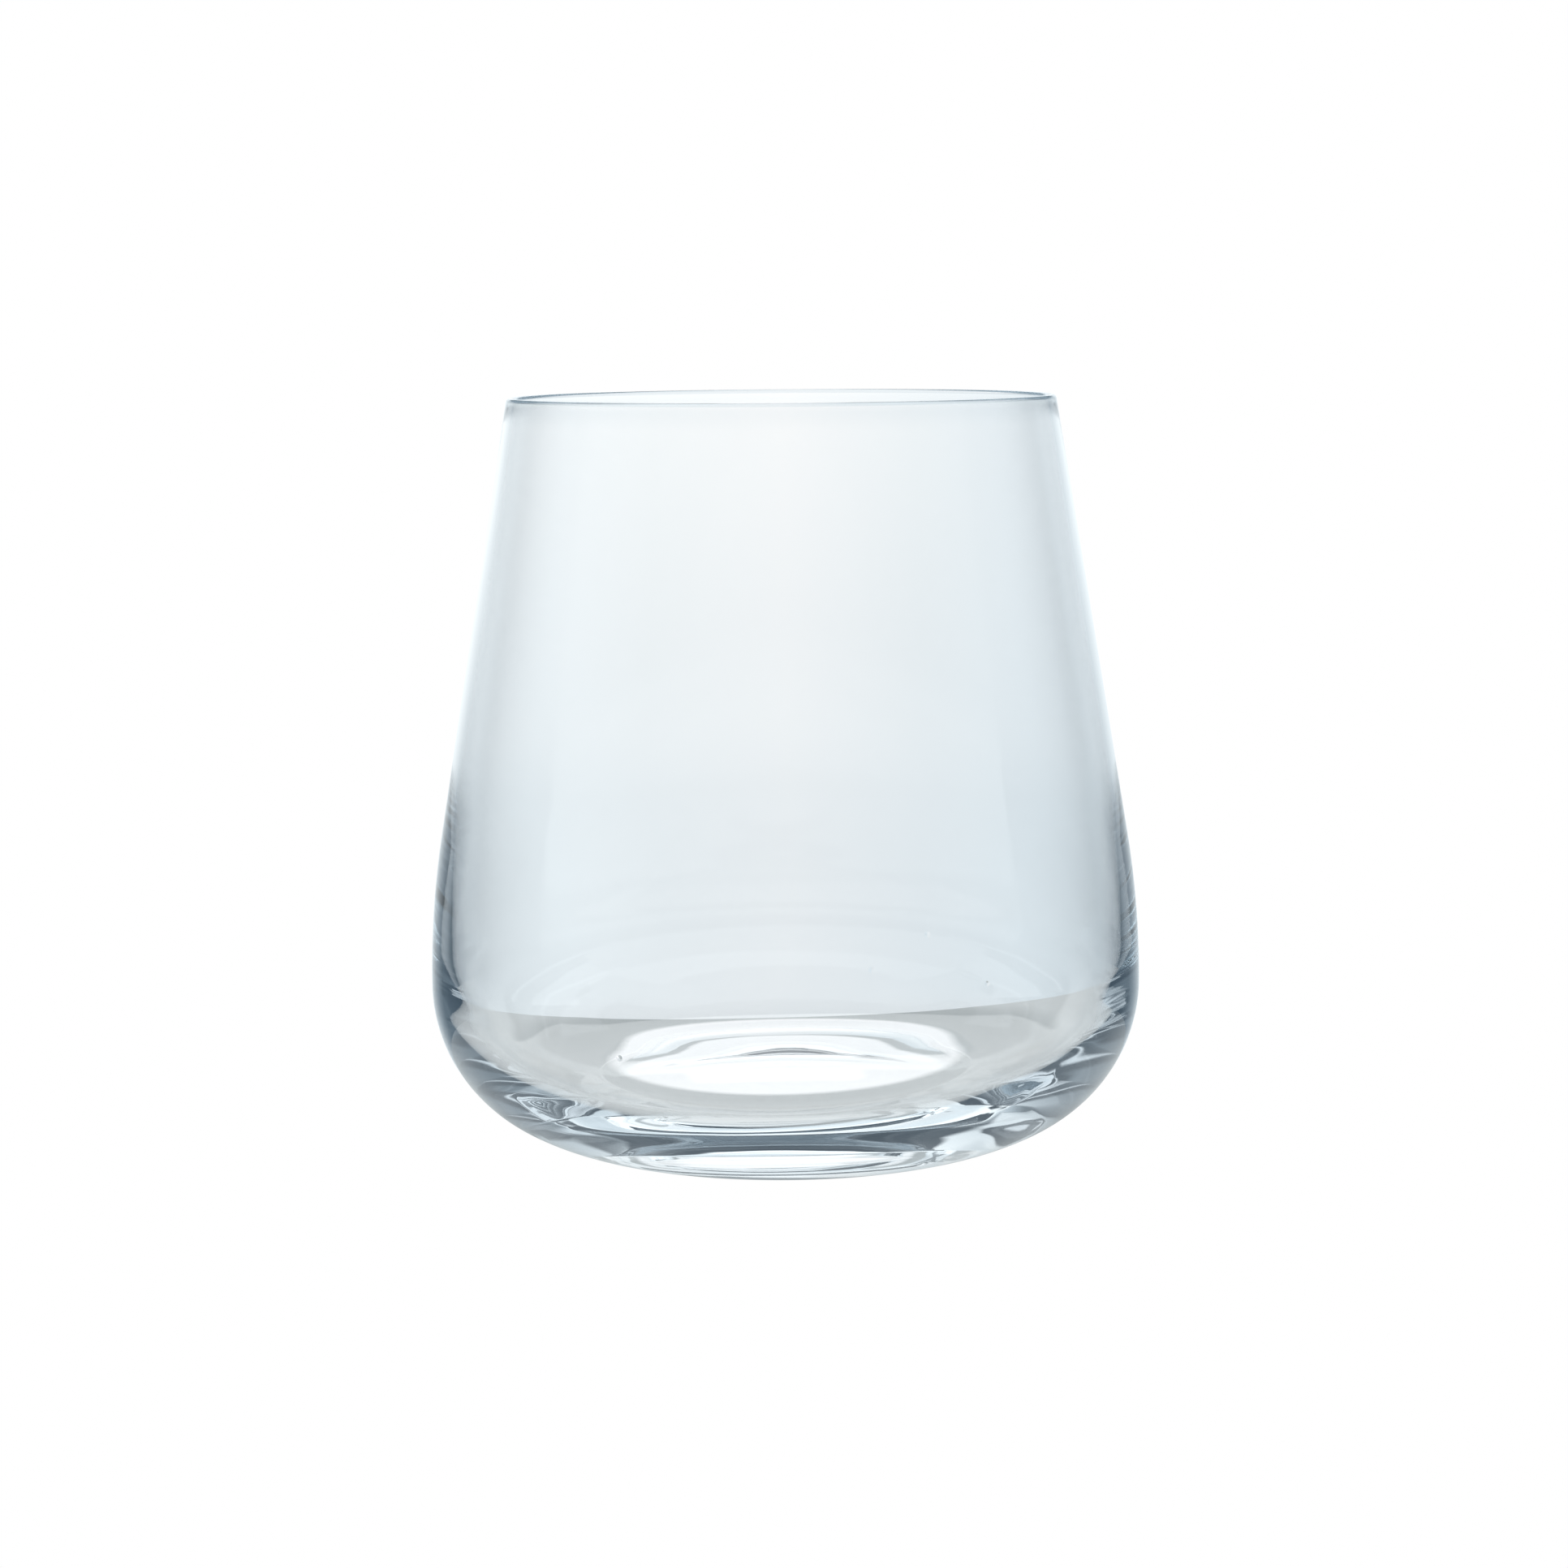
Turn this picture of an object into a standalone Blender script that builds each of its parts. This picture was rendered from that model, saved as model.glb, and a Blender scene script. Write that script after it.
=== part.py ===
"""A tapered mixing glass, blown in one piece, as a closed turned solid.

Metres, +Z up. The origin is the centre of the foot ring, on the surface that the glass stands on, and
+Z is the glass's own axis. The section is drawn in the XZ plane as (radius, height) points, from the
centre of the underside, out and up over the rim, and back down the inside to the centre of the floor.
Each curved stretch is an arc that leaves the stretch before it at the same heading, where heading 0
points away from the axis and 90 degrees points straight up.
"""

import math

import bmesh
import bpy

# Overall size
HEIGHT = 0.100
MAX_RADIUS = 0.0475
RIM_THICKNESS = 0.0011

# Outside, from the foot ring up, as arcs of (radius, heading in degrees where the arc ends)
OUTSIDE_TAPER = 9.3
OUTSIDE_ARCS = (
    (0.0040, 9.0),  # rounded edge of the foot ring
    (0.0310, 28.5),  # heel
    (0.0212, 90.0),  # corner, which ends at MAX_RADIUS
    (0.1220, 90.0 + OUTSIDE_TAPER),  # shoulder, then a straight wall up to the rim
)

# Underside: a flat ring to stand on, round a shallow hollow
HOLLOW_RADIUS = 0.0245
HOLLOW_DEPTH = 0.0010

# Cavity, from its flat floor up, as the same kind of arcs
FLOOR_THICKNESS = 0.0067
FLOOR_RADIUS = 0.0250
CAVITY_ARCS = (
    (0.0262, 23.6),  # heel
    (0.0156, 79.1),  # corner
    (0.0392, 90.0),  # flank
    (0.1455, 99.7),  # shoulder, then a straight wall up to the rim
)

# Fineness of the mesh
SIDES = 60
ARC_STEP = math.radians(6.0)
RIM_STEPS = 6
HOLLOW_STEPS = 6
LEAST_STEPS = 3
WELD = 1e-6
SMOOTH_BELOW = math.radians(40)


def arc(start, heading, radius, end_heading):
    """Points after start along an arc that turns left from heading to end_heading."""
    centre_r = start[0] - radius * math.sin(heading)
    centre_z = start[1] + radius * math.cos(heading)
    steps = max(LEAST_STEPS, math.ceil((end_heading - heading) / ARC_STEP))
    points = []
    for i in range(1, steps + 1):
        h = heading + (end_heading - heading) * i / steps
        points.append((centre_r + radius * math.sin(h), centre_z - radius * math.cos(h)))
    return points


def arc_chain(start, arcs):
    """One side of the glass: start, then each arc in turn, leaving start level."""
    points = [start]
    heading = 0.0
    for radius, end_degrees in arcs:
        end_heading = math.radians(end_degrees)
        points += arc(points[-1], heading, radius, end_heading)
        heading = end_heading
    return points


def foot_radius():
    """Where the outside leaves the table, so that the corner arc ends at MAX_RADIUS."""
    reach = 0.0
    sine = 0.0
    for radius, end_degrees in OUTSIDE_ARCS[:-1]:
        end_sine = math.sin(math.radians(end_degrees))
        reach += radius * (end_sine - sine)
        sine = end_sine
    return MAX_RADIUS - reach


def underside():
    """The hollow, as a shallow spherical cap, and the flat foot ring round it."""
    sphere = (HOLLOW_RADIUS**2 + HOLLOW_DEPTH**2) / (2 * HOLLOW_DEPTH)
    points = []
    for i in range(HOLLOW_STEPS):
        r = HOLLOW_RADIUS * i / HOLLOW_STEPS
        points.append((r, HOLLOW_DEPTH - sphere + math.sqrt(sphere**2 - r**2)))
    return points + [(HOLLOW_RADIUS, 0.0), (foot_radius(), 0.0)]


def rim(outer_end):
    """The fire-polished lip: a half round as thick as the wall, on top of the straight taper."""
    bead = RIM_THICKNESS / 2
    lip_height = HEIGHT - bead
    lip_radius = outer_end[0] - (lip_height - outer_end[1]) * math.tan(math.radians(OUTSIDE_TAPER))
    points = []
    for i in range(RIM_STEPS + 1):
        angle = math.pi * i / RIM_STEPS
        points.append((lip_radius - bead + bead * math.cos(angle), lip_height + bead * math.sin(angle)))
    return points


def section():
    """Half of the glass's cross-section, from the underside's centre to the floor's centre."""
    points = underside()
    points += arc_chain(points[-1], OUTSIDE_ARCS)[1:]
    points += rim(points[-1])
    cavity = arc_chain((FLOOR_RADIUS, FLOOR_THICKNESS), CAVITY_ARCS)
    return points + cavity[::-1] + [(0.0, FLOOR_THICKNESS)]


def clear_glass():
    """Colourless glass with a faint cool tint."""
    material = bpy.data.materials.new("clear_glass")
    material.use_nodes = True
    shader = material.node_tree.nodes["Principled BSDF"]
    shader.inputs["Base Color"].default_value = (0.94, 0.97, 0.98, 1.0)
    shader.inputs["Roughness"].default_value = 0.02
    shader.inputs["Metallic"].default_value = 0.0
    shader.inputs["IOR"].default_value = 1.52
    shader.inputs["Transmission Weight"].default_value = 1.0
    return material


def turned_solid(name, points):
    """Spins a section whose two ends lie on the Z axis into one closed body."""
    shape = bmesh.new()
    verts = [shape.verts.new((r, 0.0, z)) for r, z in points]
    edges = [shape.edges.new(pair) for pair in zip(verts, verts[1:])]
    bmesh.ops.spin(
        shape,
        geom=verts + edges,
        cent=(0.0, 0.0, 0.0),
        axis=(0.0, 0.0, 1.0),
        angle=2 * math.pi,
        steps=SIDES,
        use_merge=True,
    )
    bmesh.ops.remove_doubles(shape, verts=shape.verts, dist=WELD)
    bmesh.ops.recalc_face_normals(shape, faces=shape.faces)
    mesh = bpy.data.meshes.new(name)
    shape.to_mesh(mesh)
    shape.free()
    mesh.shade_smooth()
    mesh.set_sharp_from_angle(angle=SMOOTH_BELOW)
    solid = bpy.data.objects.new(name, mesh)
    bpy.context.scene.collection.objects.link(solid)
    return solid


def main():
    for old in list(bpy.data.objects):
        bpy.data.objects.remove(old)
    vessel = turned_solid("glass_vessel", section())
    vessel.data.materials.append(clear_glass())


main()
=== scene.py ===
"""Looks for the mixing glass: one fine blown-glass body, clear glass, and a bright-field studio.

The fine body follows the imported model's own section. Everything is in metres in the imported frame, with
+Z up and the glass standing on z = 0. The camera looks along +Y, and the studio turns with it.
"""

import math

import bpy
import numpy as np
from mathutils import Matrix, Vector


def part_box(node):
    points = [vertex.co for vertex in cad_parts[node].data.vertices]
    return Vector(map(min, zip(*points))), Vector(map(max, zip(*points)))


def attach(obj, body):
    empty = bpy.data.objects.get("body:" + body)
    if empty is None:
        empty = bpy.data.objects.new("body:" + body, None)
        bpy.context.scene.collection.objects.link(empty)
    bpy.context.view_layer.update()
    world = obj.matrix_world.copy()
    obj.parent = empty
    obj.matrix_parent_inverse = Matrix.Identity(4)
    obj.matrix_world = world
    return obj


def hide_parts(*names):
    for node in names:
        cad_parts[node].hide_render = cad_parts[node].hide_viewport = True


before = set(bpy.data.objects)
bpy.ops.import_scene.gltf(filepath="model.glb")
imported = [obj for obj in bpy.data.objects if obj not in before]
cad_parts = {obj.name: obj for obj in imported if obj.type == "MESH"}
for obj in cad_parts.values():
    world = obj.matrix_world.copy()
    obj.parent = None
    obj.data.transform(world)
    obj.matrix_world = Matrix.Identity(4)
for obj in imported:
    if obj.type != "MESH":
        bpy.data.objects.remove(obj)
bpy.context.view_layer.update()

NODE = "glass_vessel"
LOW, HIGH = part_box(NODE)
HEIGHT = HIGH[2] - LOW[2]

# Fine mesh: its steps along the section in metres, and the share of the height that has fine steps.
# ARC_MATCH is how unlike two bends of one arc may be.
SIDES = 256
WELD = 1e-5
FINE_STEP = 0.00075
PLAIN_STEP = 0.0030
FINE_BELOW = 0.42
FINE_TURN = math.radians(4.0)
ARC_MATCH = 0.02
STRAIGHT_BELOW = math.radians(0.05)

# Unevenness of the blown wall, with its depths and lengths in metres. Each RISE or FADE is a pair of
# shares of the height, where an effect starts to change and where it stops changing.
FLOOR_TILT = math.radians(0.6)
WALL_SHIFT = 0.00015
UNEVEN_FADE = (0.15, 0.55)
RIPPLE_DEPTH = 0.000010
RIPPLE_SWING = 0.5
RIPPLE_RISE = (0.01, 0.05)
RIPPLE_FADE = (0.25, 0.42)
RIPPLE_LENGTHS = (0.0050, 0.0120)
RIPPLE_TURNS = 1
RIPPLE_WAVES = 7
RIPPLE_SEED = 4

# Surface of the glass: slow waves and faint smears, and the small seeds in the front wall, each as
# (degrees round from the front, height). The heights and sizes are in metres.
GLASS_IOR = 1.52
ABSORB_COLOUR = (0.93, 0.965, 0.985)
ABSORB_DENSITY = 18.0
WAVE_SCALE = 70.0
WAVE_DETAIL = 0.0
WAVE_HEIGHT = 0.000012
SMEAR_SCALE = 160.0
SMEAR_DETAIL = 4.0
MOST_ROUGHNESS = 0.012
SEEDS = ((22, 0.0347), (13, 0.0307), (32, 0.0279), (-26, 0.0193))
SEED_RADIUS = 0.00045
SEED_HEIGHT = 0.00006

# Camera: its distance and height are multiples of the glass's height, and its lens and sensor are in
# millimetres
CAMERA_DISTANCE = 5.2
CAMERA_HEIGHT = 1.1316
CAMERA_LENS = 89.7
SENSOR = 36.0
CAMERA_SHIFT_Y = -0.0088
CAMERA_ROLL = math.radians(-0.45)
CAMERA_CLIP = 0.01

# Studio: a dome, and a floor that ends just behind the glass, with their sizes in metres
DEGREE = math.radians(1)
MILLIMETRE = 0.001
LIGHT_BOUNCES = 128
DOME_RADIUS = 2.5
DOME_SEGMENTS = 64
DOME_RINGS = 32
FLOOR_SIDE = 0.50
FLOOR_FRONT = 0.30
FLOOR_GAP = 0.0002
FLOOR_BACK = 0.037
FLOOR_YAW = math.radians(4.6)

# The dome's brightness by degrees away from straight behind the glass: level with the rim, and low
# down, where the room round the table is dark
HIGH_STOPS = (
    (0, (1.19, 1.19, 1.18)),
    (3, (1.13, 1.16, 1.16)),
    (6, (1.15, 1.20, 1.22)),
    (12, (1.10, 1.16, 1.18)),
    (30, (0.76, 0.83, 0.87)),
    (60, (0.20, 0.25, 0.29)),
    (180, (0.12, 0.15, 0.18)),
)
LOW_STOPS = (
    (0, (0.95, 0.99, 1.01)),
    (3, (0.90, 0.96, 0.99)),
    (6, (0.91, 0.99, 1.03)),
    (9, (0.86, 0.94, 0.98)),
    (20, (0.70, 0.77, 0.81)),
    (27, (0.44, 0.51, 0.56)),
    (34, (0.13, 0.17, 0.20)),
    (42, (0.07, 0.10, 0.13)),
)

# The sines of the climb at which the low and high colours are reached, and how fast the light falls
# between them
LOW_RISE = -0.17
HIGH_RISE = 0.03
DUSK = 1.5

# The right-hand side is a little darker, and above ROOM_FROM the field gives way to the dim room
RIGHT_SHADE = (0.90, 0.92, 0.935)
SHADE_SPAN = math.radians(5)
ROOM = (0.05, 0.075, 0.10)
ROOM_FROM = math.radians(9)
ROOM_BY = math.radians(14)

# Lights in the dim room above the field: (lowest, highest, nearest, furthest, colour), in degrees of
# climb and of angle to either side of straight behind. An edge past 0 or 180 to the side is open.
LIGHTS = (
    (9, 26, -9, 9, (1.30, 1.35, 1.37)),  # soft light that the cavity's floor mirrors
    (17.5, 19, 35, 115, (0.85, 0.92, 0.97)),  # strip lights
    (27, 42, 35, 115, (0.85, 0.92, 0.97)),  # windows
    (20, 62, 95, 181, (0.62, 0.68, 0.72)),  # lamps beside the camera
)
LIGHT_EDGE = 1.0  # half the width of their soft edges, in degrees

# The table's brightness by distance from the spot of light that the base gathers, in millimetres: the
# spot, the shade round it, and the open table, which falls off into the room
SPOT_BACK = 0.010
# These stops paint light and shade onto the table: a painted pool of light, a painted shadow ring round
# it, and painted falloff of the table's light.
TABLE_STOPS = (
    (24, (1.06, 1.09, 1.11)),
    (26, (0.46, 0.50, 0.51)),
    (38, (0.50, 0.54, 0.55)),
    (46, (0.68, 0.725, 0.735)),
    (60, (0.68, 0.725, 0.735)),
    (120, (0.16, 0.20, 0.23)),
)


# The section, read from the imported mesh

def meridian_links(mesh):
    """The mesh's points with y = 0 and x not below 0, welded, and which of them share an edge."""
    points = {}
    links = {}
    for edge in mesh.edges:
        ends = []
        for index in edge.vertices:
            co = mesh.vertices[index].co
            if abs(co.y) < WELD and co.x > -WELD:
                key = (round(co.x / WELD), round(co.z / WELD))
                points.setdefault(key, (max(co.x, 0.0), co.z))
                ends.append(key)
        if len(ends) == 2 and ends[0] != ends[1]:
            links.setdefault(ends[0], set()).add(ends[1])
            links.setdefault(ends[1], set()).add(ends[0])
    return points, links


def section_of(node):
    """The node's half section as (radius, height) rows, from the underside's centre to the floor's."""
    points, links = meridian_links(node.data)
    ends = sorted((key for key in links if len(links[key]) == 1), key=lambda key: key[1])
    path = [ends[0]]
    while path[-1] != ends[-1]:
        path += [key for key in links[path[-1]] if key not in path[-2:]]
    rows = [points[key] for key in path]
    if rows[0][0] > WELD:
        rows.insert(0, (0.0, rows[0][1]))
    if rows[-1][0] > WELD:
        rows.append((0.0, rows[-1][1]))
    return np.array(rows)


def turn_at(points, i):
    """The signed angle that the section turns through at point i, where 0 is straight on."""
    a = points[i] - points[i - 1]
    b = points[i + 1] - points[i]
    return math.atan2(a[0] * b[1] - a[1] * b[0], a[0] * b[0] + a[1] * b[1])


def guessed_turns(known, turns, i):
    """What the neighbours whose turn is known say that span i turns through."""
    guesses = []
    if i > 0 and known[i - 1] is not None:
        guesses.append(2 * turns[i - 1] - known[i - 1])
    if i + 1 < len(known) and known[i + 1] is not None:
        guesses.append(2 * turns[i] - known[i + 1])
    return guesses


def span_turns(points):
    """How far each span turns as an arc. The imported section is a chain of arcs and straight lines, so
    spans whose two ends bend alike lie inside an arc, and each other span follows from its neighbour."""
    count = len(points) - 1
    turns = [turn_at(points, i) for i in range(1, count)]
    bends = []
    for i, turn in enumerate(turns, start=1):
        bends.append(2 * math.sin(turn) / np.linalg.norm(points[i + 1] - points[i - 1]))
    spans = [None] * count
    for i in range(1, count - 1):
        if abs(bends[i - 1] - bends[i]) < ARC_MATCH * abs(bends[i - 1] + bends[i]):
            spans[i] = (turns[i - 1] + turns[i]) / 2
    while None in spans:
        known = list(spans)
        for i in range(count):
            guesses = guessed_turns(known, turns, i)
            if known[i] is None and guesses:
                spans[i] = min(guesses, key=abs)
    return spans


def fine_section(points):
    """The same section with each span drawn as its arc and cut into short steps."""
    fine = [points[0]]
    for start, end, turn in zip(points, points[1:], span_turns(points)):
        chord = end - start
        length = np.linalg.norm(chord)
        across = np.array([chord[1], -chord[0]]) / length
        step = FINE_STEP if start[1] < FINE_BELOW * HEIGHT else PLAIN_STEP
        steps = max(1, math.ceil(length / step), math.ceil(abs(turn) / FINE_TURN))
        for k in range(1, steps + 1):
            share = k / steps
            point = start + chord * share
            if abs(turn) > STRAIGHT_BELOW:
                radius = length / (2 * math.sin(turn / 2))
                swept = turn * (share - 0.5)
                point = (start + end) / 2 + chord / length * radius * math.sin(swept)
                point = point + across * radius * (math.cos(swept) - math.cos(turn / 2))
            fine.append(point)
    return np.array(fine)


# The glass body

def smoothstep(low, high, value):
    """0 up to low, 1 from high, and a smooth rise between them."""
    share = np.clip((value - low) / (high - low), 0.0, 1.0)
    return share * share * (3 - 2 * share)


def ripples(along):
    """Slow waves over the surface, about 1 high, by distance along the section and angle round it."""
    chance = np.random.default_rng(RIPPLE_SEED)
    angles = np.arange(SIDES) * 2 * math.pi / SIDES
    waves = np.zeros((len(along), SIDES))
    for _ in range(RIPPLE_WAVES):
        length = chance.uniform(*RIPPLE_LENGTHS)
        turns = chance.integers(-RIPPLE_TURNS, RIPPLE_TURNS + 1)
        phase = chance.uniform(0, 2 * math.pi)
        waves += np.sin(2 * math.pi * along[:, None] / length + turns * angles + phase)
    return waves / math.sqrt(RIPPLE_WAVES)


def turned_points(fine):
    """An array of (ring, side, xyz) points for the fine section, rippled over the heavy base."""
    run = np.gradient(fine, axis=0)
    run = run / np.linalg.norm(run, axis=1)[:, None]
    along = np.concatenate([[0.0], np.cumsum(np.linalg.norm(np.diff(fine, axis=0), axis=1))])
    height = fine[:, 1] / HEIGHT
    share = smoothstep(*RIPPLE_RISE, height) * (1 - smoothstep(*RIPPLE_FADE, height))
    depth = RIPPLE_DEPTH * share[:, None] * (1 + RIPPLE_SWING * ripples(along))
    radius = fine[:, 0][:, None] - run[:, 1][:, None] * depth
    angles = np.arange(SIDES) * 2 * math.pi / SIDES
    rings = np.empty((len(fine), SIDES, 3))
    rings[..., 0] = radius * np.cos(angles)
    rings[..., 1] = radius * np.sin(angles)
    rings[..., 2] = fine[:, 1][:, None] + run[:, 0][:, None] * depth
    return rings


def make_uneven(rings, cavity_from):
    """Tilts the cavity's floor and moves its wall a little off centre, as in blown glass."""
    cavity = rings[cavity_from:]
    low_down = 1 - smoothstep(*UNEVEN_FADE, cavity[..., 2] / HEIGHT)
    cavity[..., 2] += math.tan(FLOOR_TILT) * cavity[..., 0] * low_down
    cavity[..., 0] += WALL_SHIFT * low_down


def body_faces(ring_count):
    """Quads between the rings, and a fan to a point at each end."""
    bottom = ring_count * SIDES
    top = bottom + 1
    last = (ring_count - 1) * SIDES
    faces = []
    for side in range(SIDES):
        beside = (side + 1) % SIDES
        faces.append((bottom, beside, side))
        for low in range(0, last, SIDES):
            high = low + SIDES
            faces.append((low + side, low + beside, high + beside, high + side))
        faces.append((last + side, last + beside, top))
    return faces


def vessel_mesh(section):
    """The closed glass body, with one point at each end of the section."""
    fine = fine_section(section)
    fine[0, 0] = 0.0
    fine[-1, 0] = 0.0
    rings = turned_points(fine)
    make_uneven(rings, int(np.argmax(fine[:, 1])) + 1)
    body = rings[1:-1].reshape(-1, 3)
    ends = [rings[0].mean(axis=0), rings[-1].mean(axis=0)]
    vertices = np.vstack([body, ends])
    mesh = bpy.data.meshes.new("vessel")
    mesh.from_pydata(vertices.tolist(), [], body_faces(len(fine) - 2))
    mesh.update()
    mesh.shade_smooth()
    return mesh


# Materials

def new_material(name):
    """An empty node material and its output node."""
    material = bpy.data.materials.new(name)
    material.use_nodes = True
    tree = material.node_tree
    tree.nodes.clear()
    return material, tree, tree.nodes.new("ShaderNodeOutputMaterial")


def math_node(tree, operation, a, b=None):
    """A Math node on sockets or plain numbers, and its output."""
    node = tree.nodes.new("ShaderNodeMath")
    node.operation = operation
    for socket, value in zip(node.inputs, (a, b)):
        if value is None:
            continue
        if isinstance(value, (int, float)):
            socket.default_value = value
        else:
            tree.links.new(value, socket)
    return node.outputs[0]


def ramp(tree, value, low, high, smooth=True):
    """0 where value is at low, 1 at high."""
    node = tree.nodes.new("ShaderNodeMapRange")
    node.interpolation_type = "SMOOTHSTEP" if smooth else "LINEAR"
    tree.links.new(value, node.inputs["Value"])
    if low < high:
        node.inputs["From Min"].default_value = low
        node.inputs["From Max"].default_value = high
    else:
        node.inputs["From Min"].default_value = high
        node.inputs["From Max"].default_value = low
        node.inputs["To Min"].default_value = 1.0
        node.inputs["To Max"].default_value = 0.0
    return node.outputs["Result"]


def blend(tree, factor, a, b, kind="MIX"):
    """Two colours, as sockets or tuples, mixed by factor."""
    node = tree.nodes.new("ShaderNodeMix")
    node.data_type = "RGBA"
    node.blend_type = kind
    for socket, value in ((node.inputs["Factor"], factor), (node.inputs["A"], a), (node.inputs["B"], b)):
        if isinstance(value, (int, float)):
            socket.default_value = value
        elif isinstance(value, tuple):
            socket.default_value = (*value, 1.0)
        else:
            tree.links.new(value, socket)
    return node.outputs["Result"]


def noise(tree, place, scale, detail):
    """Noise from 0 to 1 by place."""
    node = tree.nodes.new("ShaderNodeTexNoise")
    tree.links.new(place, node.inputs["Vector"])
    node.inputs["Scale"].default_value = scale
    node.inputs["Detail"].default_value = detail
    return node.outputs["Fac"]


def bump(tree, height, scale, normal=None):
    """A bumped normal from a height that runs from 0 to 1, where scale is that height in metres."""
    node = tree.nodes.new("ShaderNodeBump")
    node.inputs["Distance"].default_value = scale
    tree.links.new(height, node.inputs["Height"])
    if normal is not None:
        tree.links.new(normal, node.inputs["Normal"])
    return node.outputs["Normal"]


def seed_places(section):
    """The seeds' places on the outside of the wall."""
    outside = section[: int(np.argmax(section[:, 1])) + 1]
    foot = int(np.flatnonzero(outside[:, 1] < LOW[2] + WELD)[-1])
    places = []
    for degrees, height in SEEDS:
        radius = float(np.interp(height, outside[foot:, 1], outside[foot:, 0]))
        turn = math.radians(degrees)
        places.append((radius * math.sin(turn), -radius * math.cos(turn), height))
    return places


def seed_height(tree, place, centres):
    """1 at the middle of each seed and 0 away from them all."""
    height = 0.0
    for centre in centres:
        apart = tree.nodes.new("ShaderNodeVectorMath")
        apart.operation = "DISTANCE"
        tree.links.new(place, apart.inputs[0])
        apart.inputs[1].default_value = centre
        height = math_node(tree, "ADD", ramp(tree, apart.outputs["Value"], SEED_RADIUS, 0.0), height)
    return height


def glass_material(section):
    """Clear glass with a faint cool tint that deepens with thickness."""
    material, tree, output = new_material("clear_glass")
    place = tree.nodes.new("ShaderNodeTexCoord").outputs["Object"]
    smears = math_node(tree, "MULTIPLY", noise(tree, place, SMEAR_SCALE, SMEAR_DETAIL), MOST_ROUGHNESS)
    waves = bump(tree, noise(tree, place, WAVE_SCALE, WAVE_DETAIL), WAVE_HEIGHT)
    seeds = bump(tree, seed_height(tree, place, seed_places(section)), SEED_HEIGHT, waves)
    shader = tree.nodes.new("ShaderNodeBsdfPrincipled")
    shader.inputs["Base Color"].default_value = (1.0, 1.0, 1.0, 1.0)
    shader.inputs["IOR"].default_value = GLASS_IOR
    shader.inputs["Transmission Weight"].default_value = 1.0
    tree.links.new(smears, shader.inputs["Roughness"])
    tree.links.new(seeds, shader.inputs["Normal"])
    tree.links.new(shader.outputs[0], output.inputs["Surface"])
    absorb = tree.nodes.new("ShaderNodeVolumeAbsorption")
    absorb.inputs["Color"].default_value = (*ABSORB_COLOUR, 1.0)
    absorb.inputs["Density"].default_value = ABSORB_DENSITY
    tree.links.new(absorb.outputs[0], output.inputs["Volume"])
    return material


# Studio

def direction_sockets(tree):
    """Azimuth away from +Y and the sine of the elevation, seen from the studio's centre."""
    place = tree.nodes.new("ShaderNodeTexCoord")
    unit = tree.nodes.new("ShaderNodeVectorMath")
    unit.operation = "NORMALIZE"
    tree.links.new(place.outputs["Object"], unit.inputs[0])
    split = tree.nodes.new("ShaderNodeSeparateXYZ")
    tree.links.new(unit.outputs[0], split.inputs[0])
    azimuth = math_node(tree, "ARCTAN2", split.outputs["X"], split.outputs["Y"])
    return azimuth, split.outputs["Z"]


def glow(tree, output, colour):
    """Gives the surface a plain emission of this colour."""
    node = tree.nodes.new("ShaderNodeEmission")
    tree.links.new(colour, node.inputs["Color"])
    tree.links.new(node.outputs[0], output.inputs["Surface"])


def stops_colour(tree, value, stops, unit):
    """A colour that runs straight from each (place, colour) stop to the next, with places in this unit."""
    colour = stops[0][1]
    for (low, _), (high, next_colour) in zip(stops, stops[1:]):
        share = ramp(tree, value, low * unit, high * unit, smooth=False)
        colour = blend(tree, share, colour, next_colour)
    return colour


def band(tree, angle, low, high):
    """1 where the angle lies between low and high degrees, with soft edges."""
    up = ramp(tree, angle, math.radians(low - LIGHT_EDGE), math.radians(low + LIGHT_EDGE))
    down = ramp(tree, angle, math.radians(high + LIGHT_EDGE), math.radians(high - LIGHT_EDGE))
    return math_node(tree, "MULTIPLY", up, down)


def dome_material():
    """A bright field behind the glass, and a dim room above it with lights in it."""
    material, tree, output = new_material("studio_light")
    azimuth, rise = direction_sockets(tree)
    aside = math_node(tree, "ABSOLUTE", azimuth)
    to_right = ramp(tree, azimuth, -SHADE_SPAN, SHADE_SPAN, smooth=False)
    climb = math_node(tree, "ARCSINE", rise)
    high_up = math_node(tree, "POWER", ramp(tree, rise, LOW_RISE, HIGH_RISE, smooth=False), DUSK)
    low = stops_colour(tree, aside, LOW_STOPS, DEGREE)
    high = stops_colour(tree, aside, HIGH_STOPS, DEGREE)
    colour = blend(tree, high_up, low, high)
    colour = blend(tree, to_right, colour, RIGHT_SHADE, "MULTIPLY")
    colour = blend(tree, ramp(tree, climb, ROOM_FROM, ROOM_BY), colour, ROOM)
    for lowest, highest, nearest, furthest, light in LIGHTS:
        share = math_node(
            tree, "MULTIPLY", band(tree, climb, lowest, highest), band(tree, aside, nearest, furthest)
        )
        colour = blend(tree, share, colour, light)
    glow(tree, output, colour)
    return material


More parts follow.
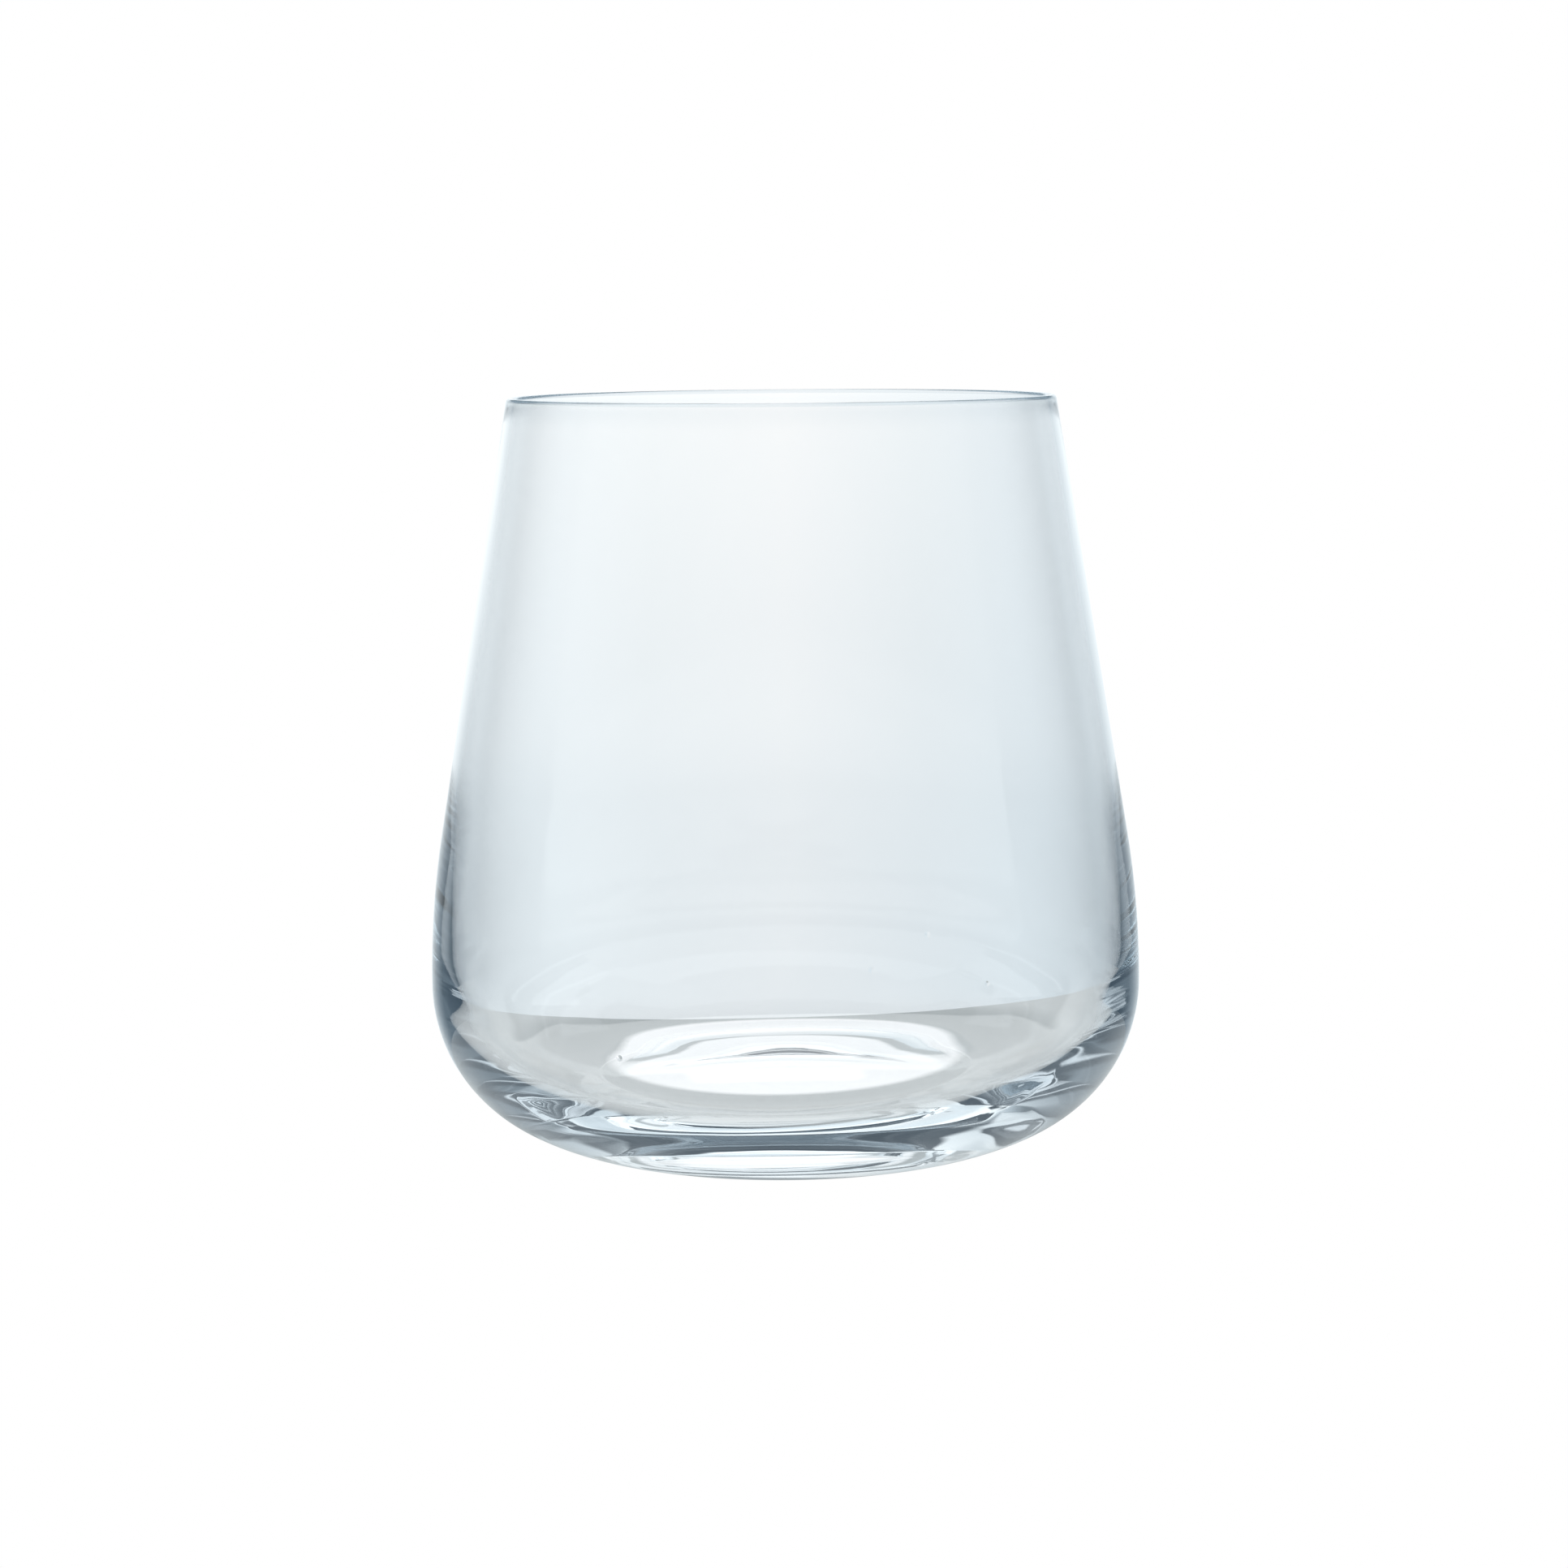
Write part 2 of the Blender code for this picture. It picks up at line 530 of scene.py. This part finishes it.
def floor_material():
    """Pale table top, with painted light: a painted pool of light under the base, a painted shadow round
    it, and painted light that falls off into the room.
    """
    material, tree, output = new_material("floor_painted_light")
    place = tree.nodes.new("ShaderNodeTexCoord")
    from_spot = tree.nodes.new("ShaderNodeVectorMath")
    from_spot.operation = "DISTANCE"
    from_spot.inputs[1].default_value = (0.0, SPOT_BACK, 0.0)
    tree.links.new(place.outputs["Object"], from_spot.inputs[0])
    # Painted light: the emission paints the pool of light under the base, the shadow ring round it and the
    # table's light falling off with distance.
    glow(tree, output, stops_colour(tree, from_spot.outputs["Value"], TABLE_STOPS, MILLIMETRE))
    return material


def stage_object(name, mesh, material, rig):
    """A studio surface that lights the glass and shows through it, and isn't seen directly."""
    mesh.materials.append(material)
    piece = bpy.data.objects.new(name, mesh)
    bpy.context.scene.collection.objects.link(piece)
    piece.parent = rig
    piece.visible_camera = False


def add_dome(rig):
    """The room round the glass, as a lit dome."""
    bpy.ops.mesh.primitive_uv_sphere_add(
        segments=DOME_SEGMENTS, ring_count=DOME_RINGS, radius=DOME_RADIUS
    )
    shape = bpy.context.object
    mesh = shape.data
    bpy.data.objects.remove(shape)
    stage_object("studio_dome", mesh, dome_material(), rig)


def add_floor(rig):
    """The table top, which ends a little behind the glass at a slightly turned edge."""
    z = LOW[2] - FLOOR_GAP
    lean = FLOOR_SIDE * math.tan(FLOOR_YAW)
    corners = (
        (-FLOOR_SIDE, -FLOOR_FRONT, z),
        (FLOOR_SIDE, -FLOOR_FRONT, z),
        (FLOOR_SIDE, FLOOR_BACK + lean, z),
        (-FLOOR_SIDE, FLOOR_BACK - lean, z),
    )
    mesh = bpy.data.meshes.new("studio_floor")
    mesh.from_pydata(corners, [], [(0, 1, 2, 3)])
    stage_object("studio_floor", mesh, floor_material(), rig)


def add_camera():
    """The camera in front of the glass, a little above its rim."""
    camera = bpy.data.objects.new("camera", bpy.data.cameras.new("camera"))
    bpy.context.scene.collection.objects.link(camera)
    middle = Vector((0.0, 0.0, LOW[2] + HEIGHT / 2))
    camera.location = (0.0, -CAMERA_DISTANCE * HEIGHT, LOW[2] + CAMERA_HEIGHT * HEIGHT)
    aim = (middle - camera.location).to_track_quat("-Z", "Y").to_euler()
    aim.rotate_axis("Z", CAMERA_ROLL)
    camera.rotation_euler = aim
    camera.data.lens = CAMERA_LENS
    camera.data.sensor_width = SENSOR
    camera.data.shift_y = CAMERA_SHIFT_Y
    camera.data.clip_start = CAMERA_CLIP
    camera.data.clip_end = 2 * DOME_RADIUS
    bpy.context.scene.camera = camera
    return camera


def add_studio(camera):
    """The dome and floor on a rig that turns with the camera, and a white world behind them."""
    rig = bpy.data.objects.new("studio_rig", None)
    bpy.context.scene.collection.objects.link(rig)
    follow = rig.constraints.new("COPY_ROTATION")
    follow.target = camera
    follow.use_x = False
    follow.use_y = False
    add_dome(rig)
    add_floor(rig)
    world = bpy.data.worlds.new("white")
    world.use_nodes = True
    world.node_tree.nodes["Background"].inputs["Color"].default_value = (1.0, 1.0, 1.0, 1.0)
    bpy.context.scene.world = world


def set_light_paths():
    """Lets light pass through every wall of the glass, and keeps white as white."""
    scene = bpy.context.scene
    scene.cycles.max_bounces = LIGHT_BOUNCES
    scene.cycles.transmission_bounces = LIGHT_BOUNCES
    scene.cycles.glossy_bounces = LIGHT_BOUNCES
    scene.view_settings.view_transform = "Standard"


def main():
    section = section_of(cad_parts[NODE])
    vessel = bpy.data.objects.new("vessel", vessel_mesh(section))
    bpy.context.scene.collection.objects.link(vessel)
    vessel.data.materials.append(glass_material(section))
    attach(vessel, "root")
    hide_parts(NODE)
    add_studio(add_camera())
    set_light_paths()
    bpy.context.view_layer.update()


main()
